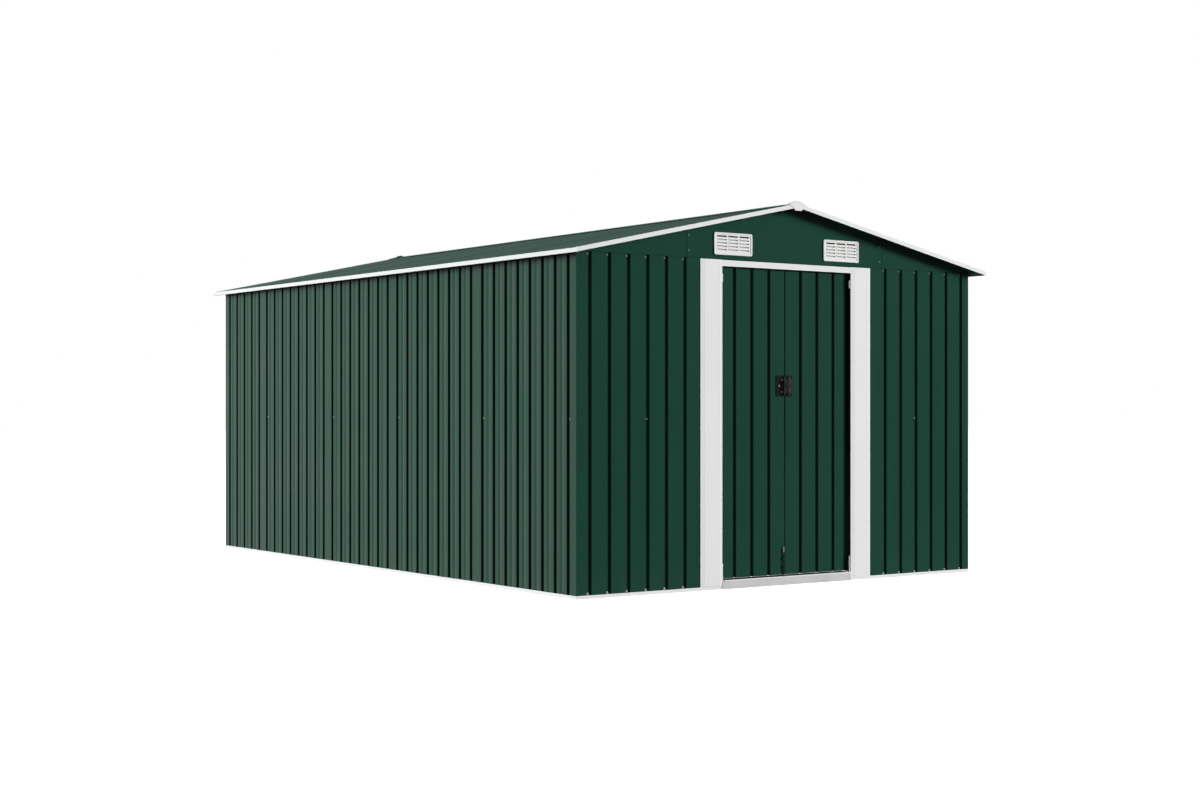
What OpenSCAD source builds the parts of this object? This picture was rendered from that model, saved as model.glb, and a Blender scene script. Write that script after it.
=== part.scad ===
// Apex-roof garden storage shed in ribbed sheet steel with a hinged double door.
// Millimetres, +Z up. Origin: middle of the footprint at ground level.
// +Y runs from the door end to the back, +X to the right when facing the doors.

/* [Walls] */
// Width of the wall box across the door end
wall_w = 2474; // [2460:1:2490]
// Length of the wall box from front to back
wall_l = 3762; // [3750:1:3780]
// Height of the joint between the end walls and the gables
joint_z = 1548; // [1545:1:1552]

/* [Sheet profile] */
// Thickness of the wall sheet
sheet = 1.2; // [1:0.1:1.4]
// Width of a groove at the face of the end walls and doors
groove_w = 20; // [17:1:22]
// Width of a groove at its bottom there
groove_b = 9; // [7:1:11]
// Width of a groove at the face of the side walls
side_groove_w = 24; // [21:1:25]
// Width of a groove at its bottom there
side_groove_b = 11; // [9:1:13]
// Depth of a groove
groove_d = 12; // [9:0.5:12]
// Spacing of the grooves on the side walls
side_pitch = 103.9; // [103.5:0.1:104.2]
// Spacing of the grooves on the end walls
end_pitch = 107.4; // [107:0.1:107.6]
// Depth of the soft crease along the middle of each side wall pan
crease = 2.4; // [1:0.2:3]

/* [Roof] */
// Width over the eave trims
roof_w = 2570; // [2560:1:2576]
// Length over the ridge end caps
roof_l = 3920; // [3912:1:3930]
// Slope of the roof in degrees
pitch = 11.95; // [11.8:0.05:12.1]
// Height of the top of the roof sheet at the eave
eave_z = 1555.5; // [1555:0.5:1557]
// Visible height of the white edge trims
trim_h = 20; // [18:1:23]
// Height of the ridge cap above the roof sheet
cap_h = 4.5; // [4:0.5:6]
// Half width of the ridge cap
cap_w = 80; // [60:5:100]
// Height of the cap over each end of the ridge above the roof sheet
end_cap_h = 13.7; // [11:0.5:15]
// Half width of that cap
end_cap_w = 52; // [45:1:60]

/* [Door] */
// Half width of the doorway between the posts
door_half = 407; // [403:1:409]
// Width of a white door post
post_w = 131; // [126:1:140]
// How far the post faces stand out from the wall
post_out = 5; // [4:0.5:6]
// How far the door leaves sit behind the wall face
recess = 22; // [20:1:24]
// Depth of a door leaf
leaf_t = 20; // [19:0.5:21]
// Depth of the door surround behind the wall face
jamb_d = 60; // [56:1:64]
// Half the gap between the two leaves
meet_gap = 3.5; // [3.5:0.5:5]
// Height of the top of the sill
sill_z = 42.5; // [41:0.5:46]
// Underside of the lintel
head_z = 1516; // [1514:1:1520]
// Spacing of the grooves on a leaf
door_pitch = 106; // [104:1:107]

/* [Louvre vents] */
// Width of a vent
vent_w = 232; // [220:2:240]
// Height of a vent
vent_h = 105; // [100:1:110]
// Distance of a vent's centre from the middle of the gable
vent_x = 342; // [330:1:350]
// Height of a vent's centre
vent_z = 1621; // [1616:1:1626]

/* [Hidden] */

green = [0.11, 0.25, 0.19];
dark_green = [0.05, 0.12, 0.09];
white = [0.86, 0.87, 0.86];
grey = [0.74, 0.74, 0.74];
steel = [0.62, 0.64, 0.65];
black = [0.06, 0.06, 0.06];

hw = wall_w/2;              // half wall width
hl = wall_l/2;              // half wall length
tanp = tan(pitch);
apex_z = eave_z + roof_w/2*tanp;   // top plane of the sheet at the ridge
lap = 0.4;                  // air between lapped sheets
wall_in = groove_d + 2*sheet + lap;  // depth of the wall at a lap
rail_in = wall_in + 0.2;    // where inside rails start
yf = -hl;                   // face of the front wall
y_leaf = yf + recess;       // face of the door leaves
leaf_lo = sill_z + 5.2;
leaf_hi = head_z - 5;
pin_x = door_half - 3.4;    // hinge pin line
pin_y = yf + 3;
bolt_x = -13;
bolt_y = y_leaf - 6;

// height of the sheet's top plane at a distance x from the middle
function zs(x) = apex_z - abs(x)*tanp;

// ---- ribbed sheet ------------------------------------------------------
// $gw and $gb are the groove widths at the face and at the bottom, $cr the depth
// of the crease
$gw = groove_w;
$gb = groove_b;
$cr = 0;
function flank() = ($gw - $gb)/2;
function thick_shift(d) = sheet*(sqrt(d*d + flank()*flank()) - flank())/d;
// outer line (k = 0) or inner line (k = 1) of a groove centred at s
function groove_pts(s, k) = [
  [s - $gw/2 - k*thick_shift(groove_d), k*sheet],
  [s - $gb/2 - k*thick_shift(groove_d), groove_d + k*sheet],
  [s + $gb/2 + k*thick_shift(groove_d), groove_d + k*sheet],
  [s + $gw/2 + k*thick_shift(groove_d), k*sheet]];
function crease_pts(s, k) = $cr > 0 ? [
  [s - 17, k*sheet], [s, $cr + k*sheet], [s + 17, k*sheet]] : [];
function flat2(v) = [for (a = v) for (b = a) b];
// the whole line of a panel from s0 to s1 with grooves g; lap0 and lap1 say
// whether the panel starts or ends in a lapped groove at s0 or s1
function sheet_line(s0, s1, g, lap0, lap1, k) = concat(
  lap0 ? [[s0 - $gb/2 + 1.5, groove_d + sheet + lap + k*sheet],
          [s0 + $gb/2 + 1.4 + k*thick_shift(groove_d), groove_d + sheet + lap + k*sheet],
          [s0 + $gw/2 + 1.4 + k*thick_shift(groove_d), k*sheet]]
       : [[s0, k*sheet]],
  flat2([for (i = [0:len(g)-1]) concat(
     (i > 0) ? crease_pts((g[i] + g[i-1])/2, k) : [],
     groove_pts(g[i], k))]),
  lap1 ? concat(crease_pts((g[len(g)-1] + s1)/2, k),
          [[s1 - $gw/2 - k*thick_shift(groove_d), k*sheet],
           [s1 - $gb/2 - k*thick_shift(groove_d), groove_d + k*sheet],
           [s1 + $gb/2 - 1.5, groove_d + k*sheet]])
       : [[s1, k*sheet]]);
function rev(v) = [for (i = [len(v)-1:-1:0]) v[i]];
// one pressed panel standing on z0, drawn along +X with its face at y = 0
// and its grooves going to +Y
module ribbed(s0, s1, g, z0, h, lap0 = false, lap1 = false)
  translate([0, 0, z0]) linear_extrude(height = h)
    polygon(concat(sheet_line(s0, s1, g, lap0, lap1, 0),
                   rev(sheet_line(s0, s1, g, lap0, lap1, 1))));
// a row of n panels that lap in the grooves whose numbers are in cuts
module panel_row(s0, s1, first, step, n, cuts, z0, h)
  for (j = [0:len(cuts)])
    let (a = j == 0 ? -1 : cuts[j-1], b = j == len(cuts) ? n : cuts[j])
      ribbed(a < 0 ? s0 : first + a*step, b == n ? s1 : first + b*step,
             [for (i = [a+1:b-1]) first + i*step], z0, h, a >= 0, b < n);

// ---- placing on the four sides: drawn along +X, depth +Y ---------------
module on_front() translate([0, -hl, 0]) children();
module on_back() translate([0, hl, 0]) mirror([0, 1, 0]) children();
module on_left() translate([-hw, 0, 0]) mirror([1, -1, 0]) children();
module on_right() translate([hw, 0, 0]) rotate([0, 0, 90]) children();

// a bar along +X from s0 to s1 whose cross section is drawn as [depth, height]
module bar(s0, s1) translate([s0, 0, 0]) rotate([90, 0, 90])
  linear_extrude(height = s1 - s0) children();

// ---- base frame --------------------------------------------------------
rail_lip = 1.5;
lip_z = 15.5;               // height of the outer lip
module base_section() polygon([
  [0, 1.5], [0, lip_z], [-rail_lip, lip_z], [-rail_lip, 0], [50, 0], [50, 1.5],
  [rail_in + 1.5, 1.5], [rail_in + 1.5, 45], [rail_in, 45], [rail_in, 1.5]]);
module end_rail(a, b, c0, c1) {
  // c0 and c1: whether the end is a corner, where only the lip runs on
  s0 = c0 ? a + 51 : a;
  s1 = c1 ? b - 51 : b;
  bar(s0, s1) base_section();
  if (c0) translate([a - rail_lip, -rail_lip, 0]) cube([51 + rail_lip + 1, rail_lip, lip_z]);
  if (c1) translate([s1 - 1, -rail_lip, 0]) cube([51 + rail_lip + 1, rail_lip, lip_z]);
}
anchor_x = hw - 34;
anchor_y = 1700;
module side_rail() difference() {
  bar(-hl, hl) base_section();
  for (s = [-1, 1]) {
    translate([s*anchor_y, 34, -1]) cylinder(r = 4.5, h = 4, $fn = 48);
    // the inner lip stops short of the end walls
    translate([s*hl - 17, rail_in - 1, 1.5]) cube([34, 4, 50]);
  }
}
module base_rail_left() color(white) on_left() side_rail();
module base_rail_right() color(white) on_right() side_rail();
module base_rail_back() color(white) on_back() end_rail(-hw, hw, true, true);
module base_rail_front() color(white) on_front() {
  end_rail(-hw, -door_half - 1, true, false);
  end_rail(door_half + 1, hw, false, true);
}
// folded sill: grey riser, rounded white nose and a tread with the bolt hole
module door_sill() color(grey) on_front() difference() {
  union() {
    bar(-door_half, door_half) polygon([
      [-post_out, 0], [-post_out + 1.5, 0], [-post_out + 1.5, sill_z - 1.5],
      [jamb_d, sill_z - 1.5], [jamb_d, 0],
      [jamb_d + 1.5, 0], [jamb_d + 1.5, sill_z], [-post_out, sill_z]]);
    translate([-door_half + 9, -post_out, sill_z - 4.1]) rotate([0, 90, 0])
      cylinder(r = 4, h = 2*door_half - 18, $fn = 40);
  }
  translate([bolt_x, bolt_y - yf, sill_z - 12]) cylinder(r = 5.5, h = 20, $fn = 40);
}

// ---- walls -------------------------------------------------------------
wall_z0 = 2;
side_top = zs(hw) - 2.7;
side_n = 36;
side_first = -side_pitch*(side_n - 1)/2;
module side_panels() let ($gw = side_groove_w, $gb = side_groove_b, $cr = crease)
  panel_row(-hl + sheet + 0.2, hl - sheet - 0.2, side_first,
    side_pitch, side_n, [7, 15, 22, 30], wall_z0, side_top - wall_z0);
module left_wall() color(green) on_left() side_panels();
module right_wall() color(green) on_right() side_panels();
back_n = 22;
module back_wall() color(green) on_back() panel_row(-hw, hw,
  -end_pitch*(back_n - 1)/2, end_pitch, back_n, [7, 14], wall_z0, joint_z - wall_z0);
front_end = door_half + 26;    // inner end of the front panels, behind the posts
module front_wall_left() color(green) on_front() ribbed(-hw, -front_end,
  [for (i = [0:5]) -1163 + i*end_pitch], wall_z0, joint_z - wall_z0);
module front_wall_right() color(green) on_front() ribbed(front_end, hw,
  [for (i = [0:5]) 644.5 + i*end_pitch], wall_z0, joint_z - wall_z0);

// ---- door surround -----------------------------------------------------
// white cover channel of one post, drawn for the right-hand side; a strip
// along each edge is bent back a little
post_strip = 22;
module post() on_front() translate([0, 0, lip_z + 0.2]) linear_extrude(height = joint_z - lip_z - 2.2)
  let (a = door_half, b = door_half + post_w, y0 = -post_out, y1 = -post_out + 1.5) polygon([
    [a, -0.2], [a, y1], [a + post_strip, y0], [b - post_strip, y0], [b, y1], [b, -0.2],
    [b - 1.5, -0.2], [b - 1.5, y1 + 1.4], [b - post_strip, y1], [a + post_strip, y1],
    [a + 1.5, y1 + 1.4], [a + 1.5, -0.2]]);
module door_post_right() color(white) post();
module door_post_left() color(white) mirror([1, 0, 0]) post();
// dark channel behind the post that the hinges are screwed to
module jamb() on_front() translate([0, 0, 46]) linear_extrude(height = head_z - 46.2)
  polygon([
    [door_half + 1, 0], [door_half + 24, 0], [door_half + 24, 1.5], [door_half + 2.5, 1.5],
    [door_half + 2.5, jamb_d], [door_half + 40, jamb_d],
    [door_half + 40, jamb_d + 1.5], [door_half + 1, jamb_d + 1.5]]);
module door_jamb_right() color(dark_green) jamb();
module door_jamb_left() color(dark_green) mirror([1, 0, 0]) jamb();
module door_lintel() color(white) on_front() bar(-door_half, door_half) polygon([
  [-post_out + 1.5, head_z], [-0.2, head_z], [-0.2, head_z + 1.5], [-post_out + 3, head_z + 1.5],
  [-post_out + 3, joint_z - 4.5], [-0.2, joint_z - 4.5], [-0.2, joint_z - 3], [-post_out + 1.5, joint_z - 3]]);
module door_head() color(dark_green) on_front() bar(-door_half - 25, door_half + 25) polygon([
  [0, head_z], [jamb_d + 1.5, head_z], [jamb_d + 1.5, joint_z],
  [jamb_d, joint_z], [jamb_d, head_z + 1.5], [1.5, head_z + 1.5],
  [1.5, joint_z], [0, joint_z]]);

// ---- gables ------------------------------------------------------------
gable_x = 605;              // joint between the gable panels
gable_z = joint_z + 1;      // lower edge of the gable panels
module gable_outline(a, b) rotate([90, 0, 0]) translate([0, 0, -60])
  linear_extrude(height = 120) polygon(concat(
    [[a, 1500], [b, 1500], [b, zs(b) - 2.7]],
    (a < 0 && b > 0) ? [[0, apex_z - 2.7]] : [], [[a, zs(a) - 2.7]]));
module gable_fold(a, b) bar(a, b) polygon([
  [0, gable_z], [rail_in + 1.2, gable_z], [rail_in + 1.2, gable_z + 1.2], [0, gable_z + 1.2]]);
module gable_tail(a, b) bar(a, b) polygon([
  [rail_in, gable_z - 24], [rail_in + 1.2, gable_z - 24], [rail_in + 1.2, gable_z + 1.2], [rail_in, gable_z + 1.2]]);
// side panel of a gable, drawn for the right; its inner edge is set back
// by the sheet thickness and runs behind the centre panel
module gable_side() {
  intersection() {
    gable_outline(gable_x - 22, hw);
    translate([0, 0, gable_z]) linear_extrude(height = 400) polygon([
      [gable_x - 22, 1.5], [gable_x + 12, 1.5], [gable_x + 16, 0], [hw, 0],
      [hw, sheet], [gable_x + 16, sheet], [gable_x + 12, 1.5 + sheet], [gable_x - 22, 1.5 + sheet]]);
  }
  gable_fold(gable_x + 16, hw - wall_in - 1);
  gable_tail(gable_x + 16, hw - wall_in - 1);
}
module gable_mid(tail) {
  difference() {
    intersection() {
      gable_outline(-gable_x - 10, gable_x + 10);
      translate([-gable_x - 10, 0, gable_z]) cube([2*gable_x + 20, sheet, 400]);
    }
    for (s = [-1, 1]) translate([s*vent_x - vent_w/2 + 20, -1, vent_z - vent_h/2 + 18])
      cube([vent_w - 40, 4, vent_h - 30]);
  }
  for (s = [-1, 1]) gable_fold(s < 0 ? -gable_x + 24 : 0, s < 0 ? 0 : gable_x - 24);
  if (tail) gable_tail(-gable_x + 24, gable_x - 24);
  else for (s = [-1, 1]) gable_tail(s < 0 ? -gable_x + 24 : door_half + 44,
                                    s < 0 ? -door_half - 44 : gable_x - 24);
}
module front_gable_right() color(green) on_front() gable_side();
module front_gable_left() color(green) on_front() mirror([1, 0, 0]) gable_side();
module front_gable_centre() color(green) on_front() gable_mid(false);
module back_gable_right() color(green) on_back() gable_side();
module back_gable_left() color(green) on_back() mirror([1, 0, 0]) gable_side();
module back_gable_centre() color(green) on_back() gable_mid(true);

// ---- inside rails ------------------------------------------------------
mid_z = 801;                // line of the bolts halfway up the walls
module angle_section(z, w) polygon([
  [rail_in, z - w/2], [rail_in + w, z - w/2], [rail_in + w, z - w/2 + 1.2],
  [rail_in + 1.2, z - w/2 + 1.2], [rail_in + 1.2, z + w/2], [rail_in, z + w/2]]);
module mid_rails() color(white) {
  on_left() bar(-hl + 52, hl - 52) angle_section(mid_z, 32);
  on_right() bar(-hl + 52, hl - 52) angle_section(mid_z, 32);
  on_back() bar(-hw + 52, hw - 52) angle_section(mid_z, 32);
  on_front() bar(-hw + 52, -door_half - 42) angle_section(mid_z, 32);
  on_front() bar(door_half + 42, hw - 52) angle_section(mid_z, 32);
}
module top_section() polygon([
  [rail_in, side_top - 52], [rail_in + 1.5, side_top - 52], [rail_in + 1.5, side_top - 1.5],
  [rail_in + 40, side_top - 1.5 + 38.5*tanp], [rail_in + 40, side_top + 38.5*tanp], [rail_in, side_top]]);
module top_rails() color(steel) {
  on_left() bar(-hl + 20, hl - 20) top_section();
  on_right() bar(-hl + 20, hl - 20) top_section();
}

// ---- roof --------------------------------------------------------------
beam_l = wall_l - 8;
module ridge_beam() color(steel) translate([0, beam_l/2, 0]) rotate([90, 0, 0])
  linear_extrude(height = beam_l) let (z1 = zs(25) - 1.8) polygon([
    [-25, z1], [-25, z1 - 60], [-23.5, z1 - 60], [-23.5, z1 - 1.5],
    [23.5, z1 - 1.5], [23.5, z1 - 60], [25, z1 - 60], [25, z1]]);
module slope_right() translate([0, 0, apex_z]) rotate([0, pitch, 0]) children();
module slope_left() mirror([1, 0, 0]) slope_right() children();
beam_s = 640;
module roof_beam() translate([beam_s, beam_l/2, 0]) rotate([90, 0, 0])
  linear_extrude(height = beam_l) polygon([
    [-20, -1.8], [-20, -52], [8, -52], [8, -50.5], [-18.5, -50.5],
    [-18.5, -3.3], [20, -3.3], [20, -1.8]]);
module roof_beams() color(steel) {
  slope_left() roof_beam();
  slope_right() roof_beam();
}

roof_n = 5;
roof_step = (roof_l - 8)/roof_n;
slope_len = (roof_w/2 - 2)/cos(pitch);
roof_t = 1.2;
// one slope: sheets from front to back, each lapping over the next
module roof_sheets() for (i = [0:roof_n-1])
  let (a = -roof_l/2 + 4 + i*roof_step, b = a + roof_step, last = i == roof_n - 1,
       p = last ? [[a + 1, 0], [b, 0]] :
         [[a + 1, 0], [b - 5, 0], [b - 2, 1.6], [b + 24, 1.6]])
    translate([1, 0, 0]) rotate([90, 0, 90]) linear_extrude(height = slope_len - 1)
      polygon(concat(p, rev([for (q = p) [q[0], q[1] - roof_t]])));
module roof_right() color(green) slope_right() roof_sheets();
module roof_left() color(green) slope_left() roof_sheets();

// eave trim, drawn for the right: face, small foot and back lip
module eave_trim() rotate([90, 0, 0]) translate([0, 0, -roof_l/2 + 4])
  linear_extrude(height = roof_l - 8) polygon([
    [roof_w/2, eave_z + 0.4], [roof_w/2 - 1.5, eave_z + 0.4],
    [roof_w/2 - 1.5, eave_z - trim_h + 2.2], [roof_w/2 - 12, eave_z - trim_h + 2.2],
    [roof_w/2 - 12, eave_z - trim_h + 0.7], [roof_w/2, eave_z - trim_h + 0.7]]);
module eave_trim_right() color(white) eave_trim();
module eave_trim_left() color(white) mirror([1, 0, 0]) eave_trim();

rake_y = roof_l/2 - 2;      // outer face of the rake trims
// both rake trims of the front, one on each slope
module rake_pair() for (m = [0, 1]) mirror([m, 0, 0]) {
  // face
  translate([0, -rake_y + 1.5, 0]) rotate([90, 0, 0]) linear_extrude(height = 1.5)
    polygon([[0.3, zs(0) + 1.4], [roof_w/2 + 0.3, zs(roof_w/2) + 1.4],
             [roof_w/2 + 0.3, zs(roof_w/2) + 1.4 - trim_h], [0.3, zs(0) + 1.4 - trim_h]]);
  // flange on the sheet
  translate([0, -rake_y + 16, 0]) rotate([90, 0, 0]) linear_extrude(height = 15)
    polygon([[0.3, zs(0) + 1.4], [roof_w/2 - 2.5, zs(roof_w/2 - 2.5) + 1.4],
             [roof_w/2 - 2.5, zs(roof_w/2 - 2.5) + 0.2], [0.3, zs(0) + 0.2]]);
}
module rake_trim_front() color(white) rake_pair();
module rake_trim_back() color(white) mirror([0, 1, 0]) rake_pair();

module ridge_cap() color(green) translate([0, rake_y - 16.5, 0]) rotate([90, 0, 0])
  linear_extrude(height = 2*rake_y - 33) polygon([
    [-cap_w, zs(cap_w) + 2.2], [-cap_w, zs(cap_w) + cap_h], [0, apex_z + cap_h],
    [cap_w, zs(cap_w) + cap_h], [cap_w, zs(cap_w) + 2.2], [cap_w - 1.5, zs(cap_w) + 2.2],
    [cap_w - 1.5, zs(cap_w - 1.5) + cap_h - 1.5], [0, apex_z + cap_h - 1.5],
    [-cap_w + 1.5, zs(cap_w - 1.5) + cap_h - 1.5], [-cap_w + 1.5, zs(cap_w) + 2.2]]);
// small cap over each end of the ridge, highest in its middle: a face with a
// tab down over the joint of the rake trims and a hood running back
function end_top(d) = [
  [-end_cap_w, zs(end_cap_w) + end_cap_h - 7.3 - d], [-31, zs(31) + end_cap_h - 5 - d],
  [-22, zs(22) + end_cap_h - 1 - d], [0, apex_z + end_cap_h - d], [22, zs(22) + end_cap_h - 1 - d],
  [31, zs(31) + end_cap_h - 5 - d], [end_cap_w, zs(end_cap_w) + end_cap_h - 7.3 - d]];
module ridge_end() {
  translate([0, -rake_y - 0.2, 0]) rotate([90, 0, 0]) linear_extrude(height = 1.8) polygon(concat(
    [[-end_cap_w, zs(end_cap_w) + 1.6]], end_top(0), [[end_cap_w, zs(end_cap_w) + 1.6],
    [23, zs(23) + 1.6 - 26], [21, zs(23) - 29], [-21, zs(23) - 29], [-23, zs(23) + 1.6 - 26]]));
  translate([0, -rake_y + 40, 0]) rotate([90, 0, 0]) linear_extrude(height = 42)
    polygon(concat(end_top(1.4), rev(end_top(0))));
}
module ridge_end_caps() color(white) for (m = [0, 1]) mirror([0, m, 0]) ridge_end();

// ---- louvre vents ------------------------------------------------------
module round_rect(w, h, r) hull() for (x = [-1, 1], z = [-1, 1])
  translate([x*(w/2 - r), z*(h/2 - r)]) circle(r = r, $fn = 32);
module vent() translate([0, -0.2, 0]) rotate([90, 0, 0]) difference() {
  linear_extrude(height = 7) round_rect(vent_w, vent_h, 9);
  for (c = [-1:1], r = [-2:2]) translate([c*68 - 29, r*15.5 + 0.7, -1]) cube([58, 7, 10]);
}
module vents_front() color(white) on_front()
  for (s = [-1, 1]) translate([s*vent_x, 0, vent_z]) vent();
module vents_back() color(white) on_back()
  for (s = [-1, 1]) translate([s*vent_x, 0, vent_z]) vent();

// ---- hinges ------------------------------------------------------------
hinge_z = [sill_z + 1.5, head_z - 74];   // lower end of each hinge
hinge_h = [76, 38];
knuckle_r = 4;
pin_r = 2.2;
// fixed half of one pair, drawn for the right-hand leaf
module hinge_fixed() for (i = [0, 1]) translate([pin_x, pin_y, hinge_z[i]]) {
  difference() {
    union() {
      cylinder(r = knuckle_r, h = hinge_h[i], $fn = 48);
      translate([knuckle_r - 1.2, 0, 0]) cube([1.2, 40, hinge_h[i]]);
    }
    translate([-20, -20, 0.27*hinge_h[i]]) cube([40, 90, 0.46*hinge_h[i]]);
  }
  cylinder(r = pin_r, h = hinge_h[i], $fn = 48);
}
// moving half: a knuckle with a bore and a plate back to the leaf's edge
module hinge_moving() for (i = [0, 1]) translate([pin_x, pin_y, hinge_z[i]])
  difference() {
    union() {
      translate([0, 0, 0.27*hinge_h[i] + 0.6]) cylinder(r = knuckle_r - 0.4, h = 0.46*hinge_h[i] - 1.2, $fn = 48);
      translate([-3.6, 0, 0.27*hinge_h[i] + 0.6]) cube([1.4, recess + leaf_t - 5, 0.46*hinge_h[i] - 1.2]);
    }
    translate([0, 0, -1]) cylinder(r = pin_r + 0.08, h = hinge_h[i] + 2, $fn = 48);
  }
module door_hinges() color(white) {
  hinge_fixed();
  mirror([1, 0, 0]) hinge_fixed();
}
module right_door_hinge_plates() color(white) hinge_moving();
module left_door_hinge_plates() color(white) mirror([1, 0, 0]) hinge_moving();

// ---- door leaves, drawn for the right-hand one -------------------------
leaf_a = meet_gap;
leaf_b = pin_x - 3.8;
leaf_fold = 13;
module leaf() translate([0, y_leaf, leaf_lo]) linear_extrude(height = leaf_hi - leaf_lo)
  let (g = [for (i = [0:2]) leaf_a + 97 + i*door_pitch]) polygon(concat(
    [[leaf_a + 10, leaf_fold], [leaf_a, leaf_fold]], sheet_line(leaf_a, leaf_b, g, false, false, 0),
    [[leaf_b, leaf_t], [leaf_b - 12, leaf_t], [leaf_b - 12, leaf_t - sheet], [leaf_b - sheet, leaf_t - sheet],
     [leaf_b - sheet, sheet]],
    rev([for (p = sheet_line(leaf_a, leaf_b, g, false, false, 1)) if (p[0] > leaf_a + 2 && p[0] < leaf_b - 2) p]),
    [[leaf_a + sheet, sheet], [leaf_a + sheet, leaf_fold - sheet], [leaf_a + 10, leaf_fold - sheet]]));
module brace(z) translate([0, y_leaf, 0]) bar(leaf_a + 12, leaf_b - 14) polygon([
  [leaf_t, z], [groove_d + sheet + 0.2, z], [groove_d + sheet + 0.2, z + 1.2], [leaf_t - 1.2, z + 1.2],
  [leaf_t - 1.2, z + 38.8], [groove_d + sheet + 0.2, z + 38.8], [groove_d + sheet + 0.2, z + 40], [leaf_t, z + 40]]);
module braces() for (z = [leaf_lo + 2, 780, leaf_hi - 42]) brace(z);
module right_door() color(green) {
  leaf();
  braces();
}
module left_door() color(green) mirror([1, 0, 0]) {
  leaf();
  braces();
}

// ---- hasp and drop bolt ------------------------------------------------
hasp_z = 906;
hasp_h = 101;
ear_out = 29;               // how far a lock ear stands out from its leaf
module plate(x, w, h, t, r) translate([x, y_leaf - 0.1, 0]) rotate([90, 0, 0])
  linear_extrude(height = t) translate([w/2, h/2]) round_rect(w, h, r);
// lock ear: stands out from the leaf, with its outer corners cut off and a
// padlock hole
module ear(x) translate([x, y_leaf, 0]) rotate([90, 0, 90]) linear_extrude(height = 3)
  difference() {
    polygon([[-0.3, 5], [-0.3, hasp_h - 5], [-12, hasp_h - 5], [-ear_out, hasp_h - 21],
             [-ear_out, 21], [-12, 5]]);
    translate([-ear_out + 13, hasp_h/2]) circle(r = 5.5, $fn = 40);
  }
// left half: a screwed plate with its ear beside the gap
module hasp_left() color(black) translate([0, 0, hasp_z]) {
  plate(-57, 51, hasp_h, 3, 4);
  ear(-9);
}
// right half: the ear stands in from the edge, the plate is behind it
module hasp_right() color(black) translate([0, 0, hasp_z]) {
  plate(5, 41, hasp_h, 3, 4);
  ear(19);
}
module bolt_guides() color(green) for (z = [78, 122]) difference() {
  union() {
    translate([bolt_x - 4.8, y_leaf - 10.1, z]) cube([9.6, 10, 8]);
    translate([bolt_x - 7, y_leaf - 1.4, z - 5]) cube([14, 1.3, 18]);
  }
  translate([bolt_x, bolt_y, z - 1]) cylinder(r = 3, h = 10, $fn = 40);
}
module drop_bolt() color(steel) translate([bolt_x, bolt_y, leaf_lo]) {
  cylinder(r = 2.8, h = 112, $fn = 40);
  translate([0, 0, 108]) cylinder(r = 3.6, h = 24, $fn = 40);
}

base_rail_left();
base_rail_right();
base_rail_back();
base_rail_front();
door_sill();
left_wall();
right_wall();
back_wall();
front_wall_left();
front_wall_right();
door_post_left();
door_post_right();
door_jamb_left();
door_jamb_right();
door_lintel();
door_head();
front_gable_left();
front_gable_centre();
front_gable_right();
back_gable_left();
back_gable_centre();
back_gable_right();
mid_rails();
top_rails();
ridge_beam();
roof_beams();
roof_left();
roof_right();
eave_trim_left();
eave_trim_right();
rake_trim_front();
rake_trim_back();
ridge_cap();
ridge_end_caps();
vents_front();
vents_back();
door_hinges();
left_door();
left_door_hinge_plates();
hasp_left();
bolt_guides();
right_door();
right_door_hinge_plates();
hasp_right();
drop_bolt();
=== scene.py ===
import math

import bmesh
import bpy
from mathutils import Matrix, Vector


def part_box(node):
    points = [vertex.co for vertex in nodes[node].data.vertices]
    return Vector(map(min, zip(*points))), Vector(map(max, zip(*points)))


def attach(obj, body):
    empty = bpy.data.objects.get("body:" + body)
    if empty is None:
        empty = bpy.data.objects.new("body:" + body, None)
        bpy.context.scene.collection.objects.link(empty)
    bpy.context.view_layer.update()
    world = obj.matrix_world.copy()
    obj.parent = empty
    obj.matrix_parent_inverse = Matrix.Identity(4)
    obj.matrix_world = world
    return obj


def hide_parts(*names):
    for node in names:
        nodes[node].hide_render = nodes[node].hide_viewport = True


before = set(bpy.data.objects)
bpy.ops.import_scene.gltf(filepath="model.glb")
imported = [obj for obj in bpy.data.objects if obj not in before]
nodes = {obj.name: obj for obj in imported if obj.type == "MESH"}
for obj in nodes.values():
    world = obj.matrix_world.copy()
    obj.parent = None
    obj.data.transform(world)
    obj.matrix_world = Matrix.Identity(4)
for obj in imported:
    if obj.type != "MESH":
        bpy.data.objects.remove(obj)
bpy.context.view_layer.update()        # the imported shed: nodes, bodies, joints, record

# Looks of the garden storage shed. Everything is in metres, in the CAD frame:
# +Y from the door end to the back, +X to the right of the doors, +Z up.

scene = bpy.context.scene

# ---------------------------------------------------------------- places ----
front_lo, front_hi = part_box("front_wall_left")
back_lo, back_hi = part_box("back_wall")
left_lo, left_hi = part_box("left_wall")
right_lo, right_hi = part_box("right_wall")
leaf_lo, leaf_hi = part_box("left_door")
Y_FRONT, Y_BACK = front_lo.y, back_hi.y
X_LEFT, X_RIGHT = left_lo.x, right_hi.x
Y_LEAF = leaf_lo.y
JOINT_Z = front_hi.z
POST_IN, POST_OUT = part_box("door_post_right")[0].x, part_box("door_post_right")[1].x
END_PITCH, SIDE_PITCH = 0.1074, 0.1039


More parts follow.
